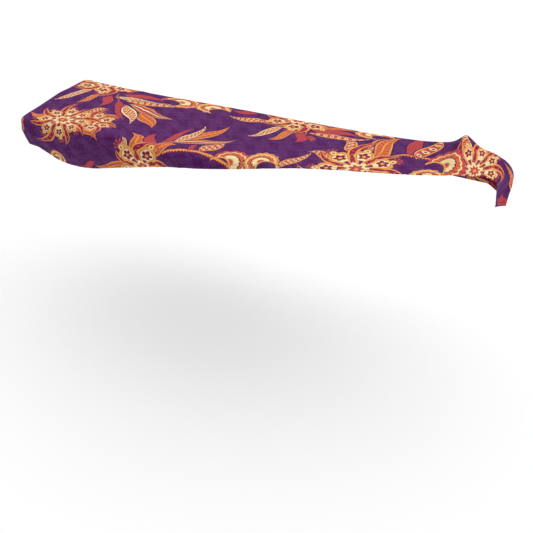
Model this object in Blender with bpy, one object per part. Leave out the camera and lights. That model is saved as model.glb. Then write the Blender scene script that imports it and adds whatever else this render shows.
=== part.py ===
"""A piano keyboard cover: fitted stretch cloth, open below, with its right front drawn back.

Metres, +Z up. X runs along the cover to its right, and Y to its back. The origin is under the
cloth's top, at the middle of the cover, where it is carried.

The cloth lies on a core rectangle inside the cover's outline. Past the core it runs on level,
rounds the edge and hangs down to its hem, so a point of it is known by its place on the core and by
how far along the cloth it lies past the core's edge.
"""

import math
from collections import namedtuple

import bpy
import numpy as np

# The cloth's outer faces, when it hangs straight down
X_LEFT, X_RIGHT = -0.655, 0.676
Y_FRONT, Y_BACK = -0.1475, 0.1475
CLOTH_THICKNESS = 0.002
# How square the upright corners are: 2 is an ellipse, and more is squarer
LEFT_SQUARENESS, RIGHT_SQUARENESS = 5.0, 3.2

# The cloth's height, section by section along the cover: over the front edge, at the front of its
# level deck, and at the back edge, with the radius of the fold over the front edge.
# On the right the front hangs free, and the taut hem keeps it up and opens the fold
Section = namedtuple("Section", "along front deck back fold")
SECTIONS = [
    Section(-0.655, -0.0205, 0.0045, 0.0115, 0.020),
    Section(-0.400, -0.0145, 0.0045, 0.0075, 0.020),
    Section(-0.150, -0.0135, 0.0050, 0.0105, 0.024),
    Section(0.000, -0.0125, 0.0055, 0.0115, 0.036),
    Section(0.200, -0.0045, 0.0065, 0.0125, 0.056),
    Section(0.400, 0.0005, 0.0065, 0.0165, 0.056),
    Section(0.676, 0.0005, 0.0065, 0.0195, 0.056),
]
DECK_Y = 0.030
# How slowly the cloth leaves the deck's level towards the front: 1 is straight
FRONT_BEND = 1.25
FRONT_SAG = 0.003

# How each side turns down: how far the core lies inside its outer face, the fold's radius, how far
# the skirt swells, and how far its hem is drawn in. The front's fold comes from the sections
Side = namedtuple("Side", "inset fold swell tuck")
LEFT = Side(0.060, 0.014, 0.006, 0.011)
FRONT = Side(0.060, 0.020, 0.001, 0.006)
BACK = Side(0.035, 0.014, 0.002, 0.010)
RIGHT = Side(0.060, 0.048, 0.000, 0.003)
TUCK_HEIGHT = 0.040

# Cloth past the core's front edge, along the cover. It is negative where the hem runs aslant behind
# that edge
Hem = namedtuple("Hem", "along reach")
FRONT_HEM = [
    Hem(-0.595, 0.130),
    Hem(-0.512, 0.160),
    Hem(-0.424, 0.163),
    Hem(-0.291, 0.135),
    Hem(-0.090, 0.087),
    Hem(0.122, 0.041),
    Hem(0.236, 0.008),
    Hem(0.338, -0.024),
    Hem(0.416, -0.047),
    Hem(0.468, -0.063),
    Hem(0.534, -0.086),
    Hem(0.617, -0.120),
]
# Cloth past the core's back edge, without what stands up in the ridges
BACK_HEM = [
    Hem(-0.595, 0.125),
    Hem(0.050, 0.125),
    Hem(0.380, 0.099),
    Hem(0.617, 0.102),
]
LEFT_REACH = 0.124
# Over the right end the cloth is longest at its back corner
RIGHT_REACH_BACK, RIGHT_REACH_HEM = 0.151, 0.142
# The hem down the right end: its place in Y against the cloth past the core's right edge
Edge = namedtuple("Edge", "reach y")
RIGHT_HEM = [
    Edge(0.000, 0.0335),
    Edge(0.030, 0.0365),
    Edge(0.057, 0.0500),
    Edge(0.080, 0.0650),
    Edge(0.118, 0.0840),
    Edge(0.135, 0.0880),
]
# The taut hem draws the cloth in against the right end, over this much of the cloth beside it
RIGHT_HUG = 0.020
HUG_WIDTH, HUG_DROP = 0.050, 0.040

# The cloth stands up in a soft ridge near the right end, from the back edge to the hem: a sharp
# crest on a broad swell
Ridge = namedtuple("Ridge", "x height left_width right_width kept_at_hem")
RIDGES = [
    Ridge(0.550, 0.023, 0.020, 0.028, 0.08),
    Ridge(0.545, 0.015, 0.085, 0.070, 0.08),
]
RIDGE_BACK_Y, RIDGE_HEM_Y = 0.135, 0.000
# How a ridge falls off to its sides: 2 is a bell, and less is sharper
RIDGE_FALL = 1.6

# How finely the solid is divided: along the core and across it, then past its edge on the level,
# round the fold and down the skirt, and round each corner
CORE_COLUMNS = 56
CORE_ROWS = 9
LEVEL_ROWS, FOLD_ROWS, SKIRT_ROWS = 2, 5, 4
ROWS_OUT = LEVEL_ROWS + FOLD_ROWS + SKIRT_ROWS
CORNER_STEPS = 6

CLOTH_COLOUR = (0.105, 0.022, 0.150, 1.0)
CLOTH_ROUGHNESS = 0.75

CORE_LEFT, CORE_RIGHT = X_LEFT + LEFT.inset, X_RIGHT - RIGHT.inset
CORE_FRONT, CORE_BACK = Y_FRONT + FRONT.inset, Y_BACK - BACK.inset
CORE_DEPTH = CORE_BACK - CORE_FRONT


def clear_scene():
    for thing in list(bpy.data.objects):
        bpy.data.objects.remove(thing, do_unlink=True)


def smooth(t):
    t = min(max(t, 0.0), 1.0)
    return t * t * (3.0 - 2.0 * t)


def curve_through(rows, at):
    """Reads a smooth curve through the rows of a table, each a place and a value."""
    if at <= rows[0][0]:
        return rows[0][1]
    if at >= rows[-1][0]:
        return rows[-1][1]
    slopes = [(b[1] - a[1]) / (b[0] - a[0]) for a, b in zip(rows, rows[1:])]
    for i, (a, b) in enumerate(zip(rows, rows[1:])):
        if at > b[0]:
            continue
        before = (slopes[max(i - 1, 0)] + slopes[i]) / 2.0
        after = (slopes[i] + slopes[min(i + 1, len(slopes) - 1)]) / 2.0
        span = b[0] - a[0]
        t = (at - a[0]) / span
        start = (1.0 + 2.0 * t) * (1.0 - t) ** 2 * a[1] + t * (1.0 - t) ** 2 * span * before
        return start + t * t * (3.0 - 2.0 * t) * b[1] + t * t * (t - 1.0) * span * after
    return rows[-1][1]


def ridge_height(ridge, x, y):
    width = ridge.left_width if x < ridge.x else ridge.right_width
    across = math.exp(-abs((x - ridge.x) / width) ** RIDGE_FALL)
    towards_back = smooth((y - RIDGE_HEM_Y) / (RIDGE_BACK_Y - RIDGE_HEM_Y))
    return ridge.height * across * (ridge.kept_at_hem + (1.0 - ridge.kept_at_hem) * towards_back)


def section(column, x):
    """Reads one column of the sections' table."""
    return curve_through([(row.along, getattr(row, column)) for row in SECTIONS], x)


def top_level(x, y):
    """The height of the cloth's top, before it turns down at the edges."""
    deck = section("deck", x)
    if y >= DECK_Y:
        level = deck + (section("back", x) - deck) * (y - DECK_Y) / (Y_BACK - DECK_Y)
    else:
        forward = (DECK_Y - y) / (DECK_Y - Y_FRONT)
        level = deck + (section("front", x) - deck) * forward ** FRONT_BEND
        level -= FRONT_SAG * math.sin(math.pi * min(forward, 1.0))
    return level + sum(ridge_height(ridge, x, y) for ridge in RIDGES)


def corner_reach(angle, one, other, squareness):
    """How far the outer face lies from the core's corner, at an angle from the first of two sides."""
    first = (math.cos(angle) / one.inset) ** squareness
    second = (math.sin(angle) / other.inset) ** squareness
    return (first + second) ** (-1.0 / squareness)


def hang(side, cloth, hem):
    """How far out and how far down the cloth is, at a distance along it past the core.

    hem is the whole length of the cloth past the core."""
    level = side.inset - side.fold
    turned = side.fold * math.pi / 2.0
    if cloth <= level:
        return cloth, 0.0
    if cloth <= level + turned:
        angle = (cloth - level) / side.fold
        return level + side.fold * math.sin(angle), side.fold * (1.0 - math.cos(angle))
    hung = cloth - level - turned
    skirt = hem - level - turned
    swell = side.swell * math.sin(math.pi * hung / skirt)
    drawn_in = side.tuck * smooth((hung - skirt) / TUCK_HEIGHT + 1.0) * smooth(skirt / TUCK_HEIGHT)
    return side.inset + swell - drawn_in, side.fold + hung


def mixed(one, other, share):
    return Side(*(a + (b - a) * share for a, b in zip(one, other)))


def place(x, y, direction, side, cloth, hem):
    """The cloth's point past the core's edge point (x, y), in a level direction."""
    out, down = hang(side, cloth, hem)
    px = x + direction[0] * out
    py = y + direction[1] * out
    return px, py, top_level(px, py) - down


def front_reach(x):
    return curve_through(FRONT_HEM, x)


def back_reach(x):
    """The cloth that stands up in the ridges is so much longer, and the back hem hangs level."""
    return curve_through(BACK_HEM, x) + sum(ridge_height(ridge, x, Y_BACK) for ridge in RIDGES)


def row_table(side, longest):
    """The rows of points, and where along the cloth past the core's edge each kind of them starts."""
    level = side.inset - side.fold
    turned = level + side.fold * math.pi / 2.0
    rows = [-CORE_ROWS, 0, LEVEL_ROWS, LEVEL_ROWS + FOLD_ROWS, ROWS_OUT]
    return rows, [-CORE_DEPTH, 0.0, level, turned, longest]


def rows_out(side, hem):
    """Where the rows past the core's edge lie, up to the hem."""
    rows, lengths = row_table(side, hem)
    return [float(cloth) for cloth in np.interp(range(1, ROWS_OUT + 1), rows, lengths)]


def front_side(x):
    return FRONT._replace(fold=section("fold", x))


def front_rows(x):
    """Where the rows lie from the core's back edge to the front hem, closer where the hem is near."""
    reach = front_reach(x)
    rows, lengths = row_table(front_side(x), max(reach, front_reach(CORE_LEFT)))
    last = np.interp(reach, lengths, rows)
    places = np.linspace(-CORE_ROWS, last, CORE_ROWS + ROWS_OUT + 1)
    return [float(cloth) for cloth in np.interp(places, rows, lengths)]


def column_points(x):
    """One line of cloth from the back hem over the core to the front hem."""
    hem = back_reach(x)
    points = [place(x, CORE_BACK, (0.0, 1.0), BACK, cloth, hem) for cloth in rows_out(BACK, hem)]
    points.reverse()
    for cloth in front_rows(x):
        if cloth < 0.0:
            points.append((x, CORE_FRONT - cloth, top_level(x, CORE_FRONT - cloth)))
        else:
            points.append(place(x, CORE_FRONT, (0.0, -1.0), front_side(x), cloth, front_reach(x)))
    return points


def corner_points(corner, start, squareness, one, other, step):
    """One line of cloth out from a corner of the core, step of CORNER_STEPS round from one side.

    one and other are each a side and its length of cloth past the core."""
    share = step / CORNER_STEPS
    angle = share * math.pi / 2.0
    across = mixed(one[0], other[0], smooth(share))
    out = corner_reach(angle, one[0], other[0], squareness)
    hem = one[1] + (other[1] - one[1]) * smooth(share) + out - across.inset
    side = across._replace(inset=out)
    direction = (math.cos(start + angle), math.sin(start + angle))
    return [place(corner[0], corner[1], direction, side, cloth, hem) for cloth in rows_out(side, hem)]


def right_points(fraction):
    """One line of cloth out over the right end, at a fraction of the way from its back to its hem."""
    reach = RIGHT_REACH_BACK + (RIGHT_REACH_HEM - RIGHT_REACH_BACK) * fraction
    points = []
    for cloth in rows_out(RIGHT, reach):
        front = curve_through(RIGHT_HEM, cloth)
        y = CORE_BACK + (front - CORE_BACK) * fraction
        beside = 1.0 - smooth((y - front) / HUG_WIDTH)
        side = RIGHT._replace(tuck=RIGHT.tuck * (1.0 - beside))
        px, py, pz = place(CORE_RIGHT, y, (1.0, 0.0), side, cloth, reach)
        down = smooth((top_level(px, py) - pz) / HUG_DROP)
        points.append((px - RIGHT_HUG * beside * down, py, pz))
    return points


class Sheet:
    """Collects the outer face of the cloth as quads between lines of points."""

    def __init__(self):
        self.points = []
        self.faces = []

    def add(self, points):
        first = len(self.points)
        self.points.extend(points)
        return list(range(first, len(self.points)))

    def join(self, one, other):
        for a, b, c, d in zip(one, other, other[1:], one[1:]):
            face = [a, b, c, d]
            face = [p for i, p in enumerate(face) if p != face[i - 1]]
            self.faces.append(face)


def cloth_sheet():
    sheet = Sheet()
    columns = []
    for i in range(CORE_COLUMNS + 1):
        x = CORE_LEFT + (CORE_RIGHT - CORE_LEFT) * i / CORE_COLUMNS
        columns.append(sheet.add(column_points(x)))
    for left, right in zip(columns, columns[1:]):
        sheet.join(right, left)
    join_left_end(sheet, columns[0])
    join_right_end(sheet, columns[-1])
    return sheet


def join_left_end(sheet, column):
    """Carries the cloth round the left end, from the back hem to the front hem."""
    back, left = (BACK, back_reach(CORE_LEFT)), (LEFT, LEFT_REACH)
    front = (FRONT, front_reach(CORE_LEFT))
    back_corner = column[ROWS_OUT]
    line = [back_corner] + column[ROWS_OUT - 1 :: -1]
    for step in range(1, CORNER_STEPS + 1):
        points = corner_points((CORE_LEFT, CORE_BACK), math.pi / 2.0, LEFT_SQUARENESS, back, left, step)
        line = next_line(sheet, line, [back_corner] + sheet.add(points))
    for row in range(1, CORE_ROWS + 1):
        y = CORE_BACK + (CORE_FRONT - CORE_BACK) * row / CORE_ROWS
        lengths = rows_out(LEFT, LEFT_REACH)
        points = [place(CORE_LEFT, y, (-1.0, 0.0), LEFT, cloth, LEFT_REACH) for cloth in lengths]
        line = next_line(sheet, line, [column[ROWS_OUT + row]] + sheet.add(points))
    front_corner = column[ROWS_OUT + CORE_ROWS]
    for step in range(1, CORNER_STEPS):
        points = corner_points((CORE_LEFT, CORE_FRONT), math.pi, LEFT_SQUARENESS, left, front, step)
        line = next_line(sheet, line, [front_corner] + sheet.add(points))
    next_line(sheet, line, column[ROWS_OUT + CORE_ROWS :])


def join_right_end(sheet, column):
    """Carries the cloth round the back right corner and over the right end, to its hem."""
    right, back = (RIGHT, RIGHT_REACH_BACK), (BACK, back_reach(CORE_RIGHT))
    back_corner = column[ROWS_OUT]
    line = [back_corner] + column[ROWS_OUT - 1 :: -1]
    for step in range(CORNER_STEPS - 1, 0, -1):
        points = corner_points((CORE_RIGHT, CORE_BACK), 0.0, RIGHT_SQUARENESS, right, back, step)
        line = next_line_back(sheet, line, [back_corner] + sheet.add(points))
    steps = front_rows(CORE_RIGHT)
    for row, step in enumerate(steps):
        fraction = (step - steps[0]) / (steps[-1] - steps[0])
        line = next_line_back(sheet, line, [column[ROWS_OUT + row]] + sheet.add(right_points(fraction)))


def next_line(sheet, line, new_line):
    """Joins the next line anticlockwise, seen from above."""
    sheet.join(new_line, line)
    return new_line


def next_line_back(sheet, line, new_line):
    """Joins the next line clockwise, seen from above."""
    sheet.join(line, new_line)
    return new_line


def cloth_material():
    material = bpy.data.materials.new("printed_polyester")
    material.use_nodes = True
    shader = material.node_tree.nodes["Principled BSDF"]
    shader.inputs["Base Color"].default_value = CLOTH_COLOUR
    shader.inputs["Roughness"].default_value = CLOTH_ROUGHNESS
    shader.inputs["Metallic"].default_value = 0.0
    return material


def build_cover():
    sheet = cloth_sheet()
    mesh = bpy.data.meshes.new("cover_cloth")
    mesh.from_pydata(sheet.points, [], sheet.faces)
    mesh.validate()
    mesh.shade_smooth()
    cover = bpy.data.objects.new("cover_cloth", mesh)
    bpy.context.scene.collection.objects.link(cover)
    cover.data.materials.append(cloth_material())
    thick = cover.modifiers.new("Thickness", "SOLIDIFY")
    thick.thickness = CLOTH_THICKNESS
    thick.offset = -1.0
    thick.use_even_offset = True
    thick.use_rim = True
    return cover


clear_scene()
build_cover()
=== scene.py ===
"""The looks of a piano keyboard cover: its stretched cloth, hem, print and studio.

Metres, +Z up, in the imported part's frame. The cloth is a thin sheet on its solid's folds. A point of
it is known by its place in the flat cut, u along the cover and v across it.
"""

import math
from collections import namedtuple

import bpy
import numpy as np
from mathutils import Matrix, Vector
from mathutils.kdtree import KDTree


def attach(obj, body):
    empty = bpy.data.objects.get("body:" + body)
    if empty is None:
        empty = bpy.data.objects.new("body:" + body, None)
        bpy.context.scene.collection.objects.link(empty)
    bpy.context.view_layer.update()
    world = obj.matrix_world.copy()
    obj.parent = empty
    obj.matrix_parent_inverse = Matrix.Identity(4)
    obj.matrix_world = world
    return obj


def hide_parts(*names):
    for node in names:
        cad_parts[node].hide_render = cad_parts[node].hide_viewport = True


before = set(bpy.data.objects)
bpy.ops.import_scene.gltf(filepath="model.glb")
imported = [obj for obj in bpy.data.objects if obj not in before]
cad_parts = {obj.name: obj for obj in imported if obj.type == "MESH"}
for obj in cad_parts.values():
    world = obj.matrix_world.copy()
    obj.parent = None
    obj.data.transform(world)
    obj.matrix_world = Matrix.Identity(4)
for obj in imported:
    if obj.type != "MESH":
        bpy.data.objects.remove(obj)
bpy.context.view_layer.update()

FULL_TURN = 2.0 * math.pi

# The cloth's outer faces, when it hangs straight down, as in its solid
X_LEFT, X_RIGHT = -0.655, 0.676
Y_FRONT, Y_BACK = -0.1475, 0.1475
# How square the upright corners are: 2 is an ellipse, and more is squarer
LEFT_SQUARENESS, RIGHT_SQUARENESS = 5.0, 3.2

# The cloth's height, section by section along the cover: over the front edge, at the front of its
# level deck, and at the back edge, with the radius of the fold over the front edge
Section = namedtuple("Section", "along front deck back fold")
SECTIONS = [
    Section(-0.655, -0.0205, 0.0045, 0.0115, 0.020),
    Section(-0.400, -0.0145, 0.0045, 0.0075, 0.020),
    Section(-0.150, -0.0135, 0.0050, 0.0105, 0.024),
    Section(0.000, -0.0125, 0.0055, 0.0115, 0.036),
    Section(0.200, -0.0045, 0.0065, 0.0125, 0.056),
    Section(0.400, 0.0005, 0.0065, 0.0165, 0.056),
    Section(0.676, 0.0005, 0.0065, 0.0195, 0.056),
]
DECK_Y = 0.030
# How slowly the cloth leaves the deck's level towards the front: 1 is straight
FRONT_BEND = 1.25
FRONT_SAG = 0.003

# How each side turns down: how far the core lies inside its outer face, the fold's radius, how far
# the skirt swells, and how far its hem is drawn in
Side = namedtuple("Side", "inset fold swell tuck")
LEFT = Side(0.060, 0.014, 0.006, 0.011)
FRONT = Side(0.060, 0.020, 0.001, 0.006)
BACK = Side(0.035, 0.014, 0.002, 0.010)
RIGHT = Side(0.060, 0.048, 0.000, 0.003)
TUCK_HEIGHT = 0.040
# Keeps a skirt that is no longer than its fold from having no length
LEAST_SKIRT = 1e-6

# Cloth past the core's front and back edges, along the cover
Hem = namedtuple("Hem", "along reach")
FRONT_HEM = [
    Hem(-0.595, 0.130),
    Hem(-0.512, 0.160),
    Hem(-0.424, 0.163),
    Hem(-0.291, 0.135),
    Hem(-0.090, 0.087),
    Hem(0.122, 0.041),
    Hem(0.236, 0.008),
    Hem(0.338, -0.024),
    Hem(0.416, -0.047),
    Hem(0.468, -0.063),
    Hem(0.534, -0.086),
    Hem(0.617, -0.120),
]
BACK_HEM = [
    Hem(-0.595, 0.125),
    Hem(0.050, 0.125),
    Hem(0.380, 0.099),
    Hem(0.617, 0.102),
]
LEFT_REACH = 0.124
# Over the right end the cloth is longest at its back corner
RIGHT_REACH_BACK, RIGHT_REACH_HEM = 0.151, 0.142
# The hem down the right end: its place in Y against the cloth past the core's right edge
Edge = namedtuple("Edge", "reach y")
RIGHT_HEM = [
    Edge(0.000, 0.0335),
    Edge(0.030, 0.0365),
    Edge(0.057, 0.0500),
    Edge(0.080, 0.0650),
    Edge(0.118, 0.0840),
    Edge(0.135, 0.0880),
]
# The taut hem draws the cloth in against the right end, over this much of the cloth beside it
RIGHT_HUG = 0.020
HUG_WIDTH, HUG_DROP = 0.050, 0.040

# The cloth stands up in a soft ridge near the right end: a sharp crest on a broad swell
Ridge = namedtuple("Ridge", "x height left_width right_width kept_at_hem")
RIDGES = [
    Ridge(0.550, 0.023, 0.020, 0.028, 0.08),
    Ridge(0.545, 0.015, 0.085, 0.070, 0.08),
]
RIDGE_BACK_Y, RIDGE_HEM_Y = 0.135, 0.000
# How a ridge falls off to its sides: 2 is a bell, and less is sharper
RIDGE_FALL = 1.6

CORE_LEFT, CORE_RIGHT = X_LEFT + LEFT.inset, X_RIGHT - RIGHT.inset
CORE_FRONT, CORE_BACK = Y_FRONT + FRONT.inset, Y_BACK - BACK.inset
CORE_DEPTH = CORE_BACK - CORE_FRONT

# How finely the sheet is divided, about every 4 mm
CORE_COLUMNS = 300
CORE_ROWS = 50
LEVEL_ROWS, FOLD_ROWS, SKIRT_ROWS = 10, 10, 15
ROWS_OUT = LEVEL_ROWS + FOLD_ROWS + SKIRT_ROWS
CORNER_STEPS = 24

# The cloth, and the hem that is turned in and stitched round its elastic
CLOTH_THICKNESS = 0.0012
HEM_THICKNESS = 0.0028
HEM_WIDTH = 0.012
# How far inwards the hem thins to the plain cloth, and the steps round its edge
HEM_EASE = 0.003
RIM_STEPS = 4


def smooth(t):
    t = np.clip(t, 0.0, 1.0)
    return t * t * (3.0 - 2.0 * t)


def curve_through(rows, at):
    """Reads a smooth curve through the rows of a table, each a place and a value."""
    places, values = (np.array([row[k] for row in rows]) for k in (0, 1))
    slopes = np.diff(values) / np.diff(places)
    tangents = (np.append(slopes[:1], slopes) + np.append(slopes, slopes[-1:])) / 2.0
    at = np.clip(at, places[0], places[-1])
    i = np.clip(np.searchsorted(places, at, side="right") - 1, 0, len(rows) - 2)
    span = places[i + 1] - places[i]
    t = (at - places[i]) / span
    start = (1.0 + 2.0 * t) * (1.0 - t) ** 2 * values[i] + t * (1.0 - t) ** 2 * span * tangents[i]
    end = t * t * (3.0 - 2.0 * t) * values[i + 1] + t * t * (t - 1.0) * span * tangents[i + 1]
    return start + end


def ridge_height(ridge, x, y):
    width = np.where(x < ridge.x, ridge.left_width, ridge.right_width)
    across = np.exp(-(np.abs((x - ridge.x) / width) ** RIDGE_FALL))
    towards_back = smooth((y - RIDGE_HEM_Y) / (RIDGE_BACK_Y - RIDGE_HEM_Y))
    return ridge.height * across * (ridge.kept_at_hem + (1.0 - ridge.kept_at_hem) * towards_back)


def section(column, x):
    return curve_through([(row.along, getattr(row, column)) for row in SECTIONS], x)


def top_level(x, y):
    """The height of the cloth's top, before it turns down at the edges."""
    deck = section("deck", x)
    backward = (y - DECK_Y) / (Y_BACK - DECK_Y)
    forward = np.maximum((DECK_Y - y) / (DECK_Y - Y_FRONT), 0.0)
    over_deck = deck + (section("back", x) - deck) * backward
    over_front = deck + (section("front", x) - deck) * forward**FRONT_BEND
    over_front = over_front - FRONT_SAG * np.sin(math.pi * np.minimum(forward, 1.0))
    level = np.where(y >= DECK_Y, over_deck, over_front)
    return level + sum(ridge_height(ridge, x, y) for ridge in RIDGES)


def corner_reach(angle, one, other, squareness):
    """How far the outer face lies from the core's corner, at an angle from the first of two sides."""
    first = (math.cos(angle) / one.inset) ** squareness
    second = (math.sin(angle) / other.inset) ** squareness
    return (first + second) ** (-1.0 / squareness)


def hang(side, cloth, hem):
    """How far out and how far down the cloth is, at a distance along it past the core."""
    level = side.inset - side.fold
    turned = side.fold * math.pi / 2.0
    angle = np.clip((cloth - level) / side.fold, 0.0, math.pi / 2.0)
    hung = np.maximum(cloth - level - turned, 0.0)
    skirt = max(hem - level - turned, LEAST_SKIRT)
    swell = side.swell * np.sin(math.pi * np.minimum(hung / skirt, 1.0))
    drawn_in = side.tuck * smooth((hung - skirt) / TUCK_HEIGHT + 1.0) * smooth(skirt / TUCK_HEIGHT)
    out = np.minimum(cloth, level) + side.fold * np.sin(angle)
    out = out + np.where(hung > 0.0, swell - drawn_in, 0.0)
    return out, side.fold * (1.0 - np.cos(angle)) + hung


class Sheet:
    """Collects the outer face of the cloth: its points, their places in the flat cut, and its quads."""

    def __init__(self):
        self.points = []
        self.flats = []
        self.count = 0
        self.faces = []

    def add(self, points, flats):
        """Adds a line of points, and returns their numbers."""
        self.points.append(points)
        self.flats.append(flats)
        first, self.count = self.count, self.count + len(points)
        return list(range(first, self.count))

    def join(self, one, other):
        for a, b, c, d in zip(one, other, other[1:], one[1:]):
            face = [a, b, c, d]
            self.faces.append([p for i, p in enumerate(face) if p != face[i - 1]])


def lay(x, y, direction, side, cloth, hem):
    """The cloth's points past the core's edge point (x, y), in a level direction, and their flats."""
    out, down = hang(side, cloth, hem)
    px = x + direction[0] * out
    py = y + direction[1] * out
    points = np.stack([px, py, top_level(px, py) - down], axis=1)
    flats = np.stack([x + direction[0] * cloth, y + direction[1] * cloth], axis=1)
    return points, flats


def row_table(side, longest):
    """The rows of points, and where along the cloth past the core's edge each kind of them starts."""
    level = side.inset - side.fold
    turned = level + side.fold * math.pi / 2.0
    rows = [-CORE_ROWS, 0, LEVEL_ROWS, LEVEL_ROWS + FOLD_ROWS, ROWS_OUT]
    return rows, [-CORE_DEPTH, 0.0, level, turned, longest]


def rows_out(side, hem):
    rows, lengths = row_table(side, hem)
    return np.interp(range(1, ROWS_OUT + 1), rows, lengths)


def front_reach(x):
    return float(curve_through(FRONT_HEM, x))


def back_reach(x):
    return float(curve_through(BACK_HEM, x) + sum(ridge_height(ridge, x, Y_BACK) for ridge in RIDGES))


def front_side(x):
    return FRONT._replace(fold=float(section("fold", x)))


def front_rows(x):
    """Where the rows lie from the core's back edge to the front hem."""
    reach = front_reach(x)
    rows, lengths = row_table(front_side(x), max(reach, front_reach(CORE_LEFT)))
    last = np.interp(reach, lengths, rows)
    return np.interp(np.linspace(-CORE_ROWS, last, CORE_ROWS + ROWS_OUT + 1), rows, lengths)


def add_column(sheet, x):
    """One line of cloth from the back hem over the core to the front hem."""
    hem = back_reach(x)
    back = lay(x, CORE_BACK, (0.0, 1.0), BACK, rows_out(BACK, hem)[::-1], hem)
    front = lay(x, CORE_FRONT, (0.0, -1.0), front_side(x), front_rows(x), front_reach(x))
    return sheet.add(*(np.concatenate(pair) for pair in zip(back, front)))


def add_corner_line(sheet, corner, start, squareness, one, other, step):
    """One line of cloth out from a corner of the core, step of CORNER_STEPS round from one side."""
    share = step / CORNER_STEPS
    angle = share * math.pi / 2.0
    eased = float(smooth(share))
    across = Side(*(a + (b - a) * eased for a, b in zip(one[0], other[0])))
    out = corner_reach(angle, one[0], other[0], squareness)
    hem = one[1] + (other[1] - one[1]) * eased + out - across.inset
    side = across._replace(inset=out)
    direction = (math.cos(start + angle), math.sin(start + angle))
    return sheet.add(*lay(corner[0], corner[1], direction, side, rows_out(side, hem), hem))


def add_right_line(sheet, fraction):
    """One line of cloth out over the right end, at a fraction of the way from its back to its hem."""
    reach = RIGHT_REACH_BACK + (RIGHT_REACH_HEM - RIGHT_REACH_BACK) * fraction
    cloth = rows_out(RIGHT, reach)
    front = curve_through(RIGHT_HEM, cloth)
    y = CORE_BACK + (front - CORE_BACK) * fraction
    beside = 1.0 - smooth((y - front) / HUG_WIDTH)
    tuck = RIGHT.tuck * (1.0 - beside)
    points, flats = lay(CORE_RIGHT, y, (1.0, 0.0), RIGHT._replace(tuck=tuck), cloth, reach)
    dropped = smooth((top_level(points[:, 0], points[:, 1]) - points[:, 2]) / HUG_DROP)
    points[:, 0] -= RIGHT_HUG * beside * dropped
    return sheet.add(points, flats)


def add_left_end(sheet, column):
    """Carries the cloth round the left end, from the back hem to the front hem."""
    back, left = (BACK, back_reach(CORE_LEFT)), (LEFT, LEFT_REACH)
    front = (FRONT, front_reach(CORE_LEFT))
    back_corner, front_corner = column[ROWS_OUT], column[ROWS_OUT + CORE_ROWS]
    lines = [column[ROWS_OUT::-1]]
    for step in range(1, CORNER_STEPS + 1):
        place = (CORE_LEFT, CORE_BACK), math.pi / 2.0, LEFT_SQUARENESS
        lines.append([back_corner] + add_corner_line(sheet, *place, back, left, step))
    for row in range(1, CORE_ROWS + 1):
        y = CORE_BACK - CORE_DEPTH * row / CORE_ROWS
        cloth = rows_out(LEFT, LEFT_REACH)
        points = sheet.add(*lay(CORE_LEFT, y, (-1.0, 0.0), LEFT, cloth, LEFT_REACH))
        lines.append([column[ROWS_OUT + row]] + points)
    for step in range(1, CORNER_STEPS):
        place = (CORE_LEFT, CORE_FRONT), math.pi, LEFT_SQUARENESS
        lines.append([front_corner] + add_corner_line(sheet, *place, left, front, step))
    lines.append(column[ROWS_OUT + CORE_ROWS :])
    for line, new_line in zip(lines, lines[1:]):
        sheet.join(new_line, line)


def add_right_end(sheet, column):
    """Carries the cloth round the back right corner and over the right end, to its hem."""
    right, back = (RIGHT, RIGHT_REACH_BACK), (BACK, back_reach(CORE_RIGHT))
    lines = [column[ROWS_OUT::-1]]
    for step in range(CORNER_STEPS - 1, 0, -1):
        place = (CORE_RIGHT, CORE_BACK), 0.0, RIGHT_SQUARENESS
        lines.append([column[ROWS_OUT]] + add_corner_line(sheet, *place, right, back, step))
    steps = front_rows(CORE_RIGHT)
    for row, fraction in enumerate((steps - steps[0]) / (steps[-1] - steps[0])):
        lines.append([column[ROWS_OUT + row]] + add_right_line(sheet, fraction))
    for line, new_line in zip(lines, lines[1:]):
        sheet.join(line, new_line)


def outer_sheet():
    sheet = Sheet()
    xs = np.linspace(CORE_LEFT, CORE_RIGHT, CORE_COLUMNS + 1)
    columns = [add_column(sheet, x) for x in xs]
    for left, right in zip(columns, columns[1:]):
        sheet.join(right, left)
    add_left_end(sheet, columns[0])
    add_right_end(sheet, columns[-1])
    return np.concatenate(sheet.points), np.concatenate(sheet.flats), sheet.faces


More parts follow.
